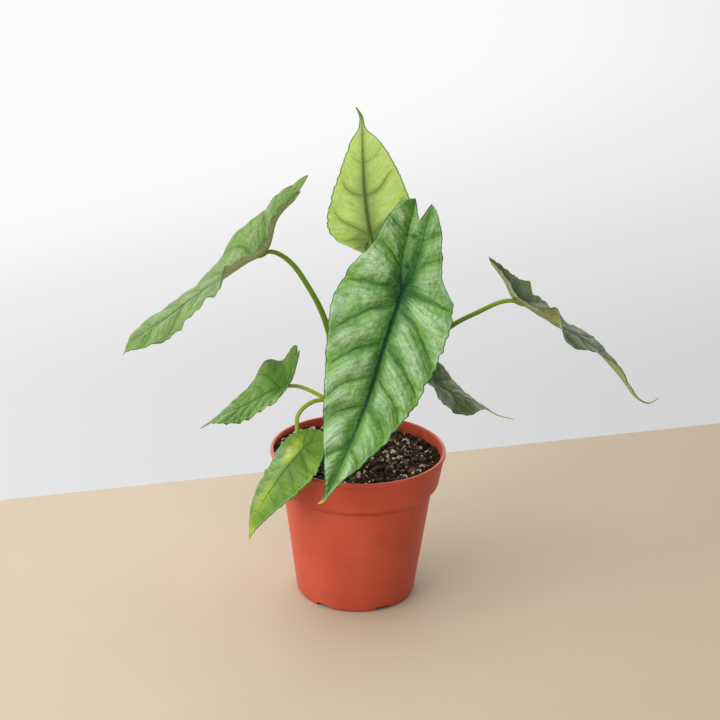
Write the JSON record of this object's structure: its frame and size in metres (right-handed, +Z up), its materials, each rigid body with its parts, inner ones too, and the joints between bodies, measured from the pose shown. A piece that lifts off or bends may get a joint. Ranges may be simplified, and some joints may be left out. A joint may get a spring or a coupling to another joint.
{
  "type": "potted alocasia",
  "caption": "Small potted alocasia: arrow-shaped leaves with waved edges on slim arching stalks, in a tapered plastic nursery pot filled with dark potting mix.",
  "frame": {"origin": "middle of the pot's flat bottom", "axes": "+Z up along the pot's axis, +X to the right of a viewer who faces the front leaf, -Y towards that viewer"},
  "size_m": [0.362, 0.1393, 0.3436],
  "materials": {
    "terracotta_plastic": "smooth satin moulded polypropylene in terracotta red",
    "potting_mix": "dark moist bark and peat with pale perlite grains",
    "crown_skin": "pale green to tan stem base with papery sheath edges",
    "leaf_stalk": "smooth satin yellow-green stalk",
    "leaf_blade": "satin green leaf with darker veins and a silvery sheen, paler underneath"
  },
  "bodies": {
    "root": {"pot": "terracotta_plastic", "soil": "potting_mix", "crown": "crown_skin", "blade_front": "leaf_blade", "stalk_front": "leaf_stalk", "blade_top": "leaf_blade", "stalk_top": "leaf_stalk", "blade_left": "leaf_blade", "stalk_left": "leaf_stalk", "blade_right": "leaf_blade", "stalk_right": "leaf_stalk", "blade_small_left": "leaf_blade", "stalk_small_left": "leaf_stalk", "blade_over_rim": "leaf_blade", "stalk_over_rim": "leaf_stalk", "blade_small_right": "leaf_blade", "stalk_small_right": "leaf_stalk"}
  },
  "joints": []
}
